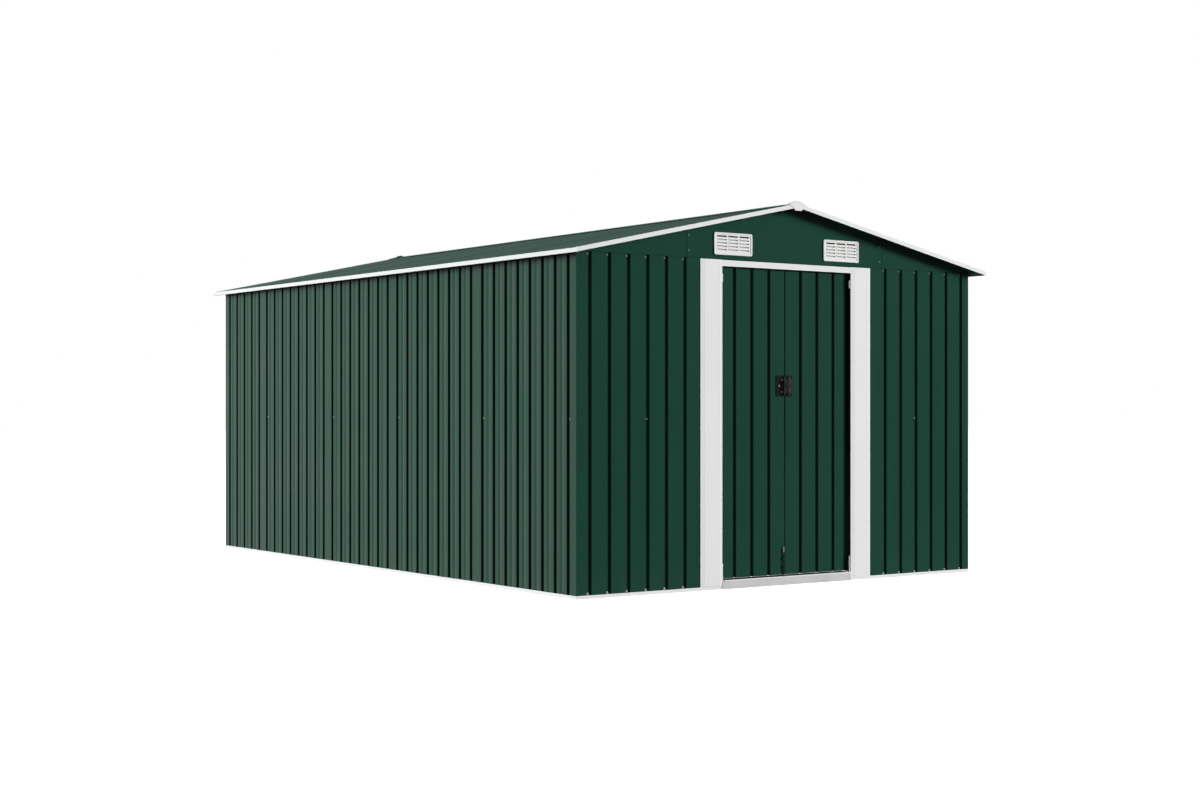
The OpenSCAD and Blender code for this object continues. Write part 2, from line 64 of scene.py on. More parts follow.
# ------------------------------------------------------------- materials ----
class Net:
    """A material with a Principled shader, and short calls to build its nodes."""

    def __init__(self, name):
        self.mat = bpy.data.materials.new(name)
        self.mat.use_nodes = True
        self.tree = self.mat.node_tree
        self.tree.nodes.clear()
        out = self.tree.nodes.new("ShaderNodeOutputMaterial")
        self.bsdf = self.tree.nodes.new("ShaderNodeBsdfPrincipled")
        self.tree.links.new(self.bsdf.outputs[0], out.inputs[0])
        self.coord = self.tree.nodes.new("ShaderNodeTexCoord")

    def put(self, socket, value):
        if isinstance(value, bpy.types.NodeSocket):
            self.tree.links.new(value, socket)
        else:
            socket.default_value = value

    def math(self, op, a, b=0.0, clamp=False):
        n = self.tree.nodes.new("ShaderNodeMath")
        n.operation, n.use_clamp = op, clamp
        self.put(n.inputs[0], a)
        self.put(n.inputs[1], b)
        return n.outputs[0]

    def step(self, value, lo, hi, to_lo=0.0, to_hi=1.0):
        n = self.tree.nodes.new("ShaderNodeMapRange")
        n.interpolation_type = "SMOOTHSTEP"
        self.put(n.inputs["Value"], value)
        n.inputs["From Min"].default_value = lo
        n.inputs["From Max"].default_value = hi
        n.inputs["To Min"].default_value = to_lo
        n.inputs["To Max"].default_value = to_hi
        return n.outputs[0]

    def axes(self, which="Object"):
        n = self.tree.nodes.new("ShaderNodeSeparateXYZ")
        self.put(n.inputs[0], self.coord.outputs[which])
        return n.outputs

    def scaled(self, sx, sy, sz):
        n = self.tree.nodes.new("ShaderNodeMapping")
        self.put(n.inputs["Vector"], self.coord.outputs["Object"])
        n.inputs["Scale"].default_value = (sx, sy, sz)
        return n.outputs[0]

    def noise(self, vector, scale, detail=3.0, rough=0.5):
        n = self.tree.nodes.new("ShaderNodeTexNoise")
        self.put(n.inputs["Vector"], vector)
        n.inputs["Scale"].default_value = scale
        n.inputs["Detail"].default_value = detail
        n.inputs["Roughness"].default_value = rough
        return n.outputs["Fac"]

    def cells(self, vector, scale):
        n = self.tree.nodes.new("ShaderNodeTexVoronoi")
        self.put(n.inputs["Vector"], vector)
        n.inputs["Scale"].default_value = scale
        return n.outputs

    def mix(self, factor, a, b, how="MIX"):
        n = self.tree.nodes.new("ShaderNodeMix")
        n.data_type, n.blend_type = "RGBA", how
        self.put(n.inputs[0], factor)
        self.put(n.inputs[6], a)
        self.put(n.inputs[7], b)
        return n.outputs[2]

    def bump(self, height, strength, distance, normal=None):
        n = self.tree.nodes.new("ShaderNodeBump")
        n.inputs["Strength"].default_value = strength
        n.inputs["Distance"].default_value = distance
        self.put(n.inputs["Height"], height)
        if normal is not None:
            self.put(n.inputs["Normal"], normal)
        return n.outputs[0]

    def done(self, color, rough, normal=None, metallic=0.0, specular=0.5, ior=1.5):
        self.put(self.bsdf.inputs["Base Color"], color)
        self.put(self.bsdf.inputs["Roughness"], rough)
        self.bsdf.inputs["Metallic"].default_value = metallic
        self.bsdf.inputs["Specular IOR Level"].default_value = specular
        self.bsdf.inputs["IOR"].default_value = ior
        if normal is not None:
            self.put(self.bsdf.inputs["Normal"], normal)
        return self.mat


def rgb(r, g, b):
    return (r, g, b, 1.0)


GREEN = (0.0078, 0.0500, 0.0310)
GROOVE_SHADE = (0.0006, 0.0078, 0.0044)


def scale_rgb(c, k):
    return rgb(c[0] * k, c[1] * k, c[2] * k)


def green_paint(name, axis=None, face=0.0, sign=1.0, base=GREEN, rough=0.40,
                along=(30.0, 30.0, 0.7), groove_shade=0.06, lip=(0.0004, 0.0016), eave=None):
    """Coil-coated sheet. axis, face and sign say which way the sheet looks: the pressed grooves get little light, and
    painted shade darkens them further, up to nearly black."""
    m = Net(name)
    obj = m.coord.outputs["Object"]
    cloud = m.noise(obj, 1.6, 2.0)
    streak = m.noise(m.scaled(*along), 1.0, 3.0, 0.55)
    grain = m.noise(obj, 420.0, 2.0, 0.6)
    color = m.mix(m.step(cloud, 0.3, 0.7), scale_rgb(base, 0.95), scale_rgb(base, 1.05))
    color = m.mix(m.math("MULTIPLY", m.step(streak, 0.35, 0.75), 0.30), color, scale_rgb(base, 1.22))
    color = m.mix(m.math("MULTIPLY", m.step(grain, 0.45, 0.80), 0.16), color, scale_rgb(base, 0.70))
    x, y, z = m.axes()
    # a trace of settled dust just above the ground
    low = m.math("MULTIPLY", m.step(z, 0.02, 0.16, 1.0, 0.0), m.step(m.noise(obj, 9.0, 4.0), 0.35, 0.70))
    color = m.mix(m.math("MULTIPLY", low, 0.035), color, rgb(0.16, 0.17, 0.15))
    r = m.math("ADD", rough - 0.03, m.math("MULTIPLY", m.step(cloud, 0.25, 0.75), 0.06))
    r = m.math("ADD", r, m.math("MULTIPLY", grain, 0.03))
    if axis is not None:
        place = {"x": x, "y": y, "z": z}[axis]
        depth = m.math("MULTIPLY", m.math("SUBTRACT", place, face), sign)
        nx, ny, nz = m.axes("Normal")
        out = m.math("MULTIPLY", {"x": nx, "y": ny, "z": nz}[axis], -sign)
        outward = m.step(out, 0.02, 0.12)
        # painted shade: the steep flanks are painted dark from the lip down, the shallow crease is not
        flank = m.math("MULTIPLY", m.step(depth, 0.0001, 0.0007), m.step(out, 0.80, 0.93, 1.0, 0.0))
        inside = m.math("MULTIPLY", m.math("MAXIMUM", flank, m.step(depth, *lip)), outward)
        dark = m.mix(m.step(streak, 0.3, 0.7), scale_rgb(GROOVE_SHADE, 0.85), scale_rgb(GROOVE_SHADE, 1.15))
        color = m.mix(m.math("MULTIPLY", inside, groove_shade), color, dark)
        if eave is not None:
            # painted shadow: a dark line just under the eave trim, where the trim shades the wall
            inside = m.math("MAXIMUM", inside, m.step(z, eave - 0.0225, eave - 0.0115))
            color = m.mix(m.math("MULTIPLY", m.step(z, eave - 0.0225, eave - 0.0115), 0.92), color, dark)
        r = m.math("ADD", r, m.math("MULTIPLY", inside, 0.40), clamp=True)
    n = m.bump(grain, 0.10, 0.0004)
    n = m.bump(m.noise(obj, 5.0, 2.0), 0.10, 0.004, n)
    return m.done(color, r, n)


def white_paint(name, base=(0.80, 0.808, 0.80), rough=0.38, along=(24.0, 24.0, 24.0), folds=()):
    m = Net(name)
    obj = m.coord.outputs["Object"]
    cloud = m.noise(obj, 2.3, 3.0)
    grain = m.noise(obj, 380.0, 2.0, 0.6)
    smear = m.noise(m.scaled(*along), 1.0, 4.0, 0.6)
    color = m.mix(m.step(cloud, 0.3, 0.7), scale_rgb(base, 0.985), scale_rgb(base, 1.01))
    color = m.mix(m.math("MULTIPLY", m.step(smear, 0.52, 0.80), 0.07), color,
                  rgb(base[0] * 0.80, base[1] * 0.79, base[2] * 0.76))
    color = m.mix(m.math("MULTIPLY", m.step(grain, 0.50, 0.80), 0.05), color, scale_rgb(base, 0.82))
    x, y, z = m.axes()
    low = m.math("MULTIPLY", m.step(z, 0.0, 0.05, 1.0, 0.0), m.step(m.noise(obj, 14.0, 4.0), 0.40, 0.75))
    color = m.mix(m.math("MULTIPLY", low, 0.10), color, rgb(0.52, 0.50, 0.45))
    for at in folds:
        # painted shade: a darker line along each fold, at a distance from the middle
        off = m.math("ABSOLUTE", m.math("SUBTRACT", m.math("ABSOLUTE", x), at))
        line = m.math("MULTIPLY", m.step(off, 0.0012, 0.0048, 1.0, 0.0), m.step(smear, 0.15, 0.60, 0.6, 1.0))
        color = m.mix(m.math("MULTIPLY", line, 0.30), color, rgb(0.50, 0.50, 0.48))
    r = m.math("ADD", rough, m.math("MULTIPLY", m.step(smear, 0.3, 0.8), 0.08))
    n = m.bump(grain, 0.08, 0.0003)
    n = m.bump(m.noise(obj, 6.0, 2.0), 0.06, 0.003, n)
    return m.done(color, r, n)


def sill_paint(name):
    """Grey riser with a white rolled nose along the front; the tread behind the nose is painted near black, painted
    shade under the door leaves.
    """
    m = Net(name)
    obj = m.coord.outputs["Object"]
    x, y, z = m.axes()
    box_lo, box_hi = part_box("door_sill")
    grain = m.noise(obj, 380.0, 2.0, 0.6)
    scuff = m.noise(m.scaled(14.0, 90.0, 90.0), 1.0, 5.0, 0.65)
    cloud = m.noise(obj, 7.0, 3.0)
    grey = m.mix(m.step(cloud, 0.3, 0.7), rgb(0.54, 0.54, 0.54), rgb(0.615, 0.61, 0.605))
    grey = m.mix(m.math("MULTIPLY", m.step(scuff, 0.55, 0.78), 0.28), grey, rgb(0.34, 0.335, 0.325))
    nose = m.math("MULTIPLY", m.step(z, box_hi.z - 0.0090, box_hi.z - 0.0080),
                  m.step(y, box_lo.y + 0.0080, box_lo.y + 0.0090, 1.0, 0.0))
    # painted shade: the tread behind the nose is painted near black
    tread = m.math("MULTIPLY", m.step(z, box_hi.z - 0.0012, box_hi.z - 0.0008),
                   m.step(y, box_lo.y + 0.0080, box_lo.y + 0.0090))
    white = m.mix(m.math("MULTIPLY", m.step(scuff, 0.55, 0.80), 0.20), rgb(0.80, 0.81, 0.80), rgb(0.56, 0.55, 0.52))
    color = m.mix(nose, grey, white)
    color = m.mix(tread, color, m.mix(m.step(scuff, 0.4, 0.8), rgb(0.0028, 0.0110, 0.0075), rgb(0.012, 0.018, 0.015)))
    r = m.math("ADD", 0.42, m.math("MULTIPLY", m.step(scuff, 0.4, 0.8), 0.14))
    n = m.bump(grain, 0.10, 0.0003)
    n = m.bump(scuff, 0.05, 0.0006, n)
    return m.done(color, r, n)


def two_tone(name, back_y):
    """Hinge: white knuckle; the plate is painted near black like the frame behind it, painted shade of the jamb."""
    m = Net(name)
    obj = m.coord.outputs["Object"]
    x, y, z = m.axes()
    grain = m.noise(obj, 380.0, 2.0, 0.6)
    wear = m.noise(obj, 60.0, 4.0, 0.6)
    white = m.mix(m.math("MULTIPLY", m.step(wear, 0.52, 0.78), 0.12), rgb(0.80, 0.808, 0.80), rgb(0.60, 0.59, 0.56))
    dark = m.mix(m.step(grain, 0.40, 0.75), rgb(0.0024, 0.0105, 0.0070), rgb(0.0018, 0.0080, 0.0052))
    color = m.mix(m.step(y, back_y - 0.0003, back_y + 0.0003), white, dark)
    r = m.math("ADD", 0.38, m.math("MULTIPLY", m.step(wear, 0.3, 0.8), 0.10))
    return m.done(color, r, m.bump(grain, 0.08, 0.0003))


def bolt_paint(name, node, knob):
    """Drop bolt: rod painted with the door, bare zinc knob."""
    m = Net(name)
    obj = m.coord.outputs["Object"]
    x, y, z = m.axes()
    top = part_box(node)[1].z
    grain = m.noise(obj, 500.0, 2.0, 0.6)
    wear = m.noise(obj, 80.0, 4.0, 0.65)
    paint = m.mix(m.step(grain, 0.45, 0.80), scale_rgb(GREEN, 1.0), scale_rgb(GREEN, 0.72))
    bare = m.mix(m.step(wear, 0.35, 0.70), rgb(0.52, 0.54, 0.54), rgb(0.64, 0.66, 0.66))
    color = m.mix(m.step(z, top - knob - 0.0004, top - knob + 0.0004), paint, bare)
    r = m.math("ADD", 0.34, m.math("MULTIPLY", wear, 0.16))
    return m.done(color, r, m.bump(grain, 0.08, 0.0002), metallic=0.3)


def zinc(name, base=(0.62, 0.64, 0.65), rough=0.36, spangle=70.0, metallic=0.9):
    """Galvanised steel with its crystals."""
    m = Net(name)
    obj = m.coord.outputs["Object"]
    cell = m.cells(obj, spangle)
    shade = cell["Distance"]
    crystal = m.noise(cell["Position"], 37.0, 0.0)
    haze = m.noise(obj, 18.0, 4.0)
    color = m.mix(m.step(crystal, 0.30, 0.70), scale_rgb(base, 0.84), scale_rgb(base, 1.06))
    color = m.mix(m.math("MULTIPLY", m.step(haze, 0.45, 0.75), 0.25), color, scale_rgb(base, 0.78))
    r = m.math("ADD", rough - 0.05, m.math("MULTIPLY", crystal, 0.16))
    n = m.bump(shade, 0.05, 0.0006)
    n = m.bump(m.noise(obj, 600.0, 2.0), 0.05, 0.0002, n)
    return m.done(color, r, n, metallic=metallic)


def plastic(name, base=(0.80, 0.802, 0.79), rough=0.46):
    """Moulded white plastic with a fine grain."""
    m = Net(name)
    obj = m.coord.outputs["Object"]
    grain = m.cells(obj, 1400.0)["Distance"]
    cloud = m.noise(obj, 12.0, 4.0)
    x, y, z = m.axes()
    color = m.mix(m.step(cloud, 0.3, 0.7), scale_rgb(base, 0.975), scale_rgb(base, 1.01))
    dust = m.step(m.noise(obj, 130.0, 4.0, 0.7), 0.58, 0.80)
    color = m.mix(m.math("MULTIPLY", dust, 0.10), color, rgb(0.52, 0.50, 0.46))
    r = m.math("ADD", rough - 0.03, m.math("MULTIPLY", cloud, 0.07))
    n = m.bump(grain, 0.06, 0.0003)
    return m.done(color, r, n)


def black_coat(name, base=(0.0095, 0.0100, 0.0100), rough=0.42):
    """Black powder coat: fine orange peel and faint rubbed places."""
    m = Net(name)
    obj = m.coord.outputs["Object"]
    peel = m.noise(obj, 700.0, 2.0, 0.5)
    rub = m.noise(obj, 55.0, 5.0, 0.65)
    color = m.mix(m.step(peel, 0.35, 0.70), scale_rgb(base, 0.80), scale_rgb(base, 1.25))
    color = m.mix(m.math("MULTIPLY", m.step(rub, 0.58, 0.78), 0.22), color, rgb(0.045, 0.046, 0.045))
    # painted sheen: the flat sides of the two ears are painted grey, for the bright surroundings they mirror
    x, y, z = m.axes()
    nx = m.math("ABSOLUTE", m.axes("Normal")[0])
    ear_sheen = m.math("MULTIPLY", m.step(y, Y_LEAF - 0.0060, Y_LEAF - 0.0040, 1.0, 0.0), m.step(nx, 0.80, 0.95))
    bare = m.mix(m.step(rub, 0.30, 0.70), rgb(0.40, 0.39, 0.385), rgb(0.27, 0.265, 0.26))
    color = m.mix(m.math("MULTIPLY", ear_sheen, 0.92), color, bare)
    r = m.math("ADD", rough, m.math("MULTIPLY", m.step(rub, 0.4, 0.75), 0.10))
    n = m.bump(peel, 0.22, 0.0004)
    return m.done(color, r, n)


def screw_metal(name, base=(0.78, 0.79, 0.78), rough=0.30):
    """Bright zinc-plated screw head with faint turning marks."""
    m = Net(name)
    obj = m.coord.outputs["Object"]
    fine = m.noise(obj, 900.0, 3.0, 0.6)
    haze = m.noise(obj, 90.0, 3.0)
    color = m.mix(m.step(haze, 0.35, 0.70), scale_rgb(base, 0.86), scale_rgb(base, 1.05))
    r = m.math("ADD", rough, m.math("MULTIPLY", fine, 0.14))
    n = m.bump(fine, 0.10, 0.0002)
    return m.done(color, r, n, metallic=0.55)


MAT = {
    "front": green_paint("green_sheet_front", "y", Y_FRONT, 1.0),
    "back": green_paint("green_sheet_back", "y", Y_BACK, -1.0),
    # the side walls have a soft crease 2.4 mm deep along each pan; their grooves are painted nearly black, painted
    # shade
    "left": green_paint("green_sheet_left", "x", X_LEFT, 1.0, groove_shade=0.95,
                        lip=(0.0019, 0.0030), eave=left_hi.z - 0.012),
    "right": green_paint("green_sheet_right", "x", X_RIGHT, -1.0, groove_shade=0.95,
                         lip=(0.0019, 0.0030), eave=left_hi.z - 0.012),
    "leaf": green_paint("green_sheet_doors", "y", Y_LEAF, 1.0),
    "gable": green_paint("green_sheet_gables"),
    # painted light: the roof sheet gets a lighter green than the walls, for the light and sheen on its slopes
    "roof": green_paint("green_sheet_roof_painted_lighter", base=(0.0165, 0.0810, 0.0575), along=(0.7, 30.0, 30.0)),
    # painted shade: the door frame is painted near black, far darker than the sheet, for the shade inside the door
    # opening
    "dark": green_paint("frame_paint_painted_shade", base=(0.0022, 0.0100, 0.0066), rough=0.45),
    "guide": green_paint("green_bolt_guides"),
    "white": white_paint("white_trim_paint"),
    # painted shade: the eave trims get a dimmer, greyer white than the other trims
    "eave": white_paint("white_eave_painted_shade", base=(0.735, 0.760, 0.745)),
    "post": white_paint("white_post_paint", along=(30.0, 30.0, 1.5),
                        folds=(POST_IN + 0.022, POST_OUT - 0.022)),
    # painted light: the base rails get a slightly lighter white than the other trims
    "rail": white_paint("white_rail_painted_lighter", base=(0.825, 0.832, 0.825), along=(3.0, 3.0, 40.0)),
    "sill": sill_paint("sill_paint"),
    "zinc": zinc("galvanised_steel"),
    "plastic": plastic("white_vent_plastic"),
    "black": black_coat("black_lock_coat"),
    "screw": screw_metal("bright_screws"),
    "bolt_head": screw_metal("wall_bolt_heads", base=(0.42, 0.47, 0.45), rough=0.42),
    "hinge": two_tone("hinge_paint", Y_FRONT + 0.0074),
    "bolt": bolt_paint("drop_bolt_paint", "drop_bolt", 0.024),
}

DRESS = {
    "front": ["front_wall_left", "front_wall_right"],
    "back": ["back_wall"],
    "left": ["left_wall"],
    "right": ["right_wall"],
    "leaf": ["left_door", "right_door"],
    "gable": ["front_gable_left", "front_gable_centre", "front_gable_right",
              "back_gable_left", "back_gable_centre", "back_gable_right"],
    "roof": ["roof_left", "roof_right", "ridge_cap"],
    "dark": ["door_jamb_left", "door_jamb_right", "door_head"],
    "guide": ["bolt_guides"],
    "white": ["door_lintel", "rake_trim_front", "rake_trim_back"],
    "eave": ["eave_trim_left", "eave_trim_right"],
    "hinge": ["door_hinges", "left_door_hinge_plates", "right_door_hinge_plates"],
    "bolt": ["drop_bolt"],
    "post": ["door_post_left", "door_post_right"],
    "rail": ["base_rail_left", "base_rail_right", "base_rail_back", "base_rail_front"],
    "sill": ["door_sill"],
    "zinc": ["mid_rails", "top_rails", "ridge_beam", "roof_beams"],
    "plastic": ["ridge_end_caps", "vents_front", "vents_back"],
    "black": ["hasp_left", "hasp_right"],
}
for key, names in DRESS.items():
    for n in names:
        o = nodes[n]
        if not o.material_slots:
            o.data.materials.append(MAT[key])
        for s in o.material_slots:
            s.material = MAT[key]
missed = sorted(set(nodes) - {n for names in DRESS.values() for n in names})
assert not missed, missed


def soften(name, width, segments=2, angle=32.0):
    """Rolled edges on a CAD node: its own mesh stays, a modifier rounds it."""
    o = nodes[name]
    w = o.modifiers.new("join", "WELD")
    w.merge_threshold = 0.00001
    b = o.modifiers.new("rolled_edges", "BEVEL")
    b.width, b.segments, b.limit_method = width, segments, "ANGLE"
    b.angle_limit = math.radians(angle)
    b.harden_normals = False


for n in ("door_post_left", "door_post_right", "door_lintel", "eave_trim_left", "eave_trim_right",
          "rake_trim_front", "rake_trim_back", "ridge_cap", "ridge_end_caps",
          "base_rail_left", "base_rail_right", "base_rail_front", "base_rail_back"):
    soften(n, 0.0006)
for n in ("hasp_left", "hasp_right"):
    soften(n, 0.0005)
for n in ("bolt_guides", "drop_bolt"):
    soften(n, 0.0006)


# ------------------------------------------------------- mesh-code pieces ---
def add_object(name, bm, mat, body, smooth=None):
    mesh = bpy.data.meshes.new(name)
    bmesh.ops.recalc_face_normals(bm, faces=bm.faces)
    bm.to_mesh(mesh)
    bm.free()
    mesh.materials.append(mat)
    o = bpy.data.objects.new(name, mesh)
    scene.collection.objects.link(o)
    if smooth is not None:
        for p in mesh.polygons:
            p.use_smooth = True
        mesh.set_sharp_from_angle(angle=math.radians(smooth))
    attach(o, body)
    return o


def turn_to(direction, roll=0.0):
    """Rotation that takes +Z to the direction, after a roll about it."""
    return (Vector(direction).to_track_quat("Z", "Y").to_matrix().to_4x4()
            @ Matrix.Rotation(roll, 4, "Z"))


def lathe(bm, place, profile, sides=20):
    """Turns a profile of (radius, height) about +Z of place; closed at both ends."""
    rings = []
    for r, h in profile:
        rings.append([bm.verts.new(place @ Vector((r * math.cos(2 * math.pi * k / sides),
                                                   r * math.sin(2 * math.pi * k / sides), h)))
                      for k in range(sides)])
    for a, b in zip(rings, rings[1:]):
        for k in range(sides):
            bm.faces.new((a[k], a[(k + 1) % sides], b[(k + 1) % sides], b[k]))
    bm.faces.new(rings[0][::-1])
    bm.faces.new(rings[-1])


def pan_screw(bm, at, direction, r=0.0042, h=0.0026, washer=0.0058, roll=0.3):
    """Pan head on a thin washer, with a cross recess."""
    m = Matrix.Translation(Vector(at)) @ turn_to(direction, roll)
    lathe(bm, m, [(washer, -0.0004), (washer, 0.0005), (washer - 0.0004, 0.0008), (r * 0.6, 0.0008)], 20)
    head = [(r, 0.0006), (r, 0.0009), (r * 0.97, h * 0.45), (r * 0.86, h * 0.72), (r * 0.66, h * 0.90)]
    sides = 20
    rings = [[bm.verts.new(m @ Vector((q * math.cos(2 * math.pi * k / sides),
                                       q * math.sin(2 * math.pi * k / sides), z))) for k in range(sides)]
             for q, z in head]
    for a, b in zip(rings, rings[1:]):
        for k in range(sides):
            bm.faces.new((a[k], a[(k + 1) % sides], b[(k + 1) % sides], b[k]))
    bm.faces.new(rings[0][::-1])
    # the recess: a cross-shaped pit in the crown
    arm, half = r * 0.46, r * 0.13
    cross = [(half, arm), (-half, arm), (-half, half), (-arm, half), (-arm, -half), (-half, -half),
             (-half, -arm), (half, -arm), (half, -half), (arm, -half), (arm, half), (half, half)]
    rim = [bm.verts.new(m @ Vector((x, y, h))) for x, y in cross]
    pit = [bm.verts.new(m @ Vector((x * 0.8, y * 0.8, h * 0.55))) for x, y in cross]
    for k in range(12):
        bm.faces.new((rim[k], rim[(k + 1) % 12], pit[(k + 1) % 12], pit[k]))
    bm.faces.new(pit)
    # crown between the last ring and the rim of the cross
    top = rings[-1]
    order = sorted(range(12), key=lambda k: math.atan2(cross[k][1], cross[k][0]) % (2 * math.pi))
    rim_sorted = [rim[k] for k in order]
    angles = [math.atan2(cross[k][1], cross[k][0]) % (2 * math.pi) for k in order]
    ring_angles = [2 * math.pi * k / sides for k in range(sides)]
    i = j = 0
    while i < sides or j < 12:
        ta = ring_angles[i] if i < sides else 9.0
        tb = angles[j] if j < 12 else 9.0
        a0, b0 = top[i % sides], rim_sorted[(j - 1) % 12] if j else rim_sorted[-1]
        if ta <= tb:
            f = (top[(i - 1) % sides], top[i % sides], b0)
            i += 1
        else:
            f = (top[(i - 1) % sides], rim_sorted[j % 12], b0)
            j += 1
        if len({v.index if v.index >= 0 else id(v) for v in f}) == 3 and len(set(f)) == 3:
            try:
                bm.faces.new(f)
            except ValueError:
                pass


def hex_nut(bm, at, direction, across=0.0070, h=0.0032, roll=0.0):
    """Nut with its bolt end standing out of it."""
    m = Matrix.Translation(Vector(at)) @ turn_to(direction, roll)
    r = across / math.sqrt(3)
    lathe(bm, m, [(r * 0.94, 0.0), (r, 0.0004), (r, h - 0.0004), (r * 0.94, h)], 6)
    lathe(bm, m, [(0.0020, h - 0.0002), (0.0020, h + 0.0030), (0.0016, h + 0.0034)], 16)


left_grooves = [-1.163 + i * END_PITCH for i in range(6)]
right_grooves = [0.6445 + i * END_PITCH for i in range(6)]
back_grooves = [-END_PITCH * 10.5 + i * END_PITCH for i in range(22)]
side_first = -SIDE_PITCH * 17.5

bolts = bmesh.new()
base_bolts = bmesh.new()
nuts = bmesh.new()


def wall_bolt(at, direction, k, bm=None, r=0.0034, washer=0.0047):
    pan_screw(bolts if bm is None else bm, at, direction, r=r, h=0.0024, washer=washer, roll=0.9 * k + 0.2)


def inside_nut(at, direction, k):
    hex_nut(nuts, at, direction, roll=1.3 * k)


count = 0
front_dir, back_dir = (0, -1, 0), (0, 1, 0)
RAIL = 0.0162                           # inner face of the inside rails behind the wall face
for gx in left_grooves + right_grooves:
    wall_bolt((gx - 0.0130, Y_FRONT, JOINT_Z - 0.010), front_dir, count)
    inside_nut((gx - 0.0130, Y_FRONT + RAIL, JOINT_Z - 0.010), back_dir, count)
    wall_bolt((gx - 0.0130, Y_FRONT, 0.0222), front_dir, count + 1, base_bolts, 0.0042, 0.0058)
    count += 2
for gx in back_grooves:
    wall_bolt((gx + 0.0130, Y_BACK, JOINT_Z - 0.010), back_dir, count)
    inside_nut((gx + 0.0130, Y_BACK - RAIL, JOINT_Z - 0.010), front_dir, count)
    wall_bolt((gx + 0.0130, Y_BACK, 0.0222), back_dir, count + 1, base_bolts, 0.0042, 0.0058)
    count += 2
mid_z = 0.801
for x in (-0.848, 0.848):
    wall_bolt((x, Y_FRONT, mid_z), front_dir, count)
    wall_bolt((x, Y_BACK, mid_z), back_dir, count + 1)
    inside_nut((x, Y_FRONT + RAIL, mid_z), back_dir, count)
    inside_nut((x, Y_BACK - RAIL, mid_z), front_dir, count)
    count += 2
wall_bolt((0.0, Y_BACK, mid_z), back_dir, count)
inside_nut((0.0, Y_BACK - RAIL, mid_z), front_dir, count)
for s in (-1, 1):
    for z in (1.651, 1.581):
        wall_bolt((s * 0.605, Y_FRONT, z), front_dir, count)
        wall_bolt((s * 0.605, Y_BACK, z), back_dir, count + 1)
        count += 2
for s, x in ((-1, X_LEFT), (1, X_RIGHT)):
    for g in (0, 7, 15, 22, 30):
        y = side_first + g * SIDE_PITCH - 0.0150
        wall_bolt((x, y, mid_z), (s, 0, 0), count)
        inside_nut((x - s * RAIL, y, mid_z), (-s, 0, 0), count)
        count += 1
wall_bolts = add_object("wall_bolts", bolts, MAT["bolt_head"], "shed", smooth=40)
frame_bolts = add_object("base_frame_bolts", base_bolts, MAT["screw"], "shed", smooth=40)
inside_nuts = add_object("inside_nuts", nuts, MAT["bolt_head"], "shed", smooth=40)


# louvre vents: a moulded plate with rounded edges and three columns of slots
def rounded(w, h, r, cx=0.0, cz=0.0, steps=5, rev=False):
    pts = []
    for sx, sz, a0 in ((1, 1, 0), (-1, 1, 90), (-1, -1, 180), (1, -1, 270)):
        for k in range(steps + 1):
            a = math.radians(a0 + 90 * k / steps)
            pts.append((cx + sx * (w / 2 - r) + r * math.cos(a), cz + sz * (h / 2 - r) + r * math.sin(a)))
    return pts[::-1] if rev else pts


def flat_curve(name, loops, extrude, bevel, place):
    """Filled outline with holes, extruded and rounded, turned into a mesh."""
    c = bpy.data.curves.new(name, "CURVE")
    c.dimensions, c.fill_mode = "2D", "BOTH"
    c.extrude, c.bevel_depth, c.bevel_resolution = extrude, bevel, 2
    c.offset = -bevel
    for loop in loops:
        s = c.splines.new("POLY")
        s.points.add(len(loop) - 1)
        for p, (x, z) in zip(s.points, loop):
            p.co = (x, z, 0.0, 1.0)
        s.use_cyclic_u = True
    o = bpy.data.objects.new(name, c)
    scene.collection.objects.link(o)
    bpy.context.view_layer.update()
    mesh = bpy.data.meshes.new_from_object(o.evaluated_get(bpy.context.evaluated_depsgraph_get()))
    bpy.data.objects.remove(o)
    bpy.data.curves.remove(c)
    mesh.transform(place)
    return mesh


def prism(bm, place, section, half):
    """A bar along X from -half to half with a closed (y, z) section."""
    a = [bm.verts.new(place @ Vector((-half, y, z))) for y, z in section]
    b = [bm.verts.new(place @ Vector((half, y, z))) for y, z in section]
    k = len(section)
    for i in range(k):
        bm.faces.new((a[i], a[(i + 1) % k], b[(i + 1) % k], b[i]))
    bm.faces.new(a[::-1])
    bm.faces.new(b)


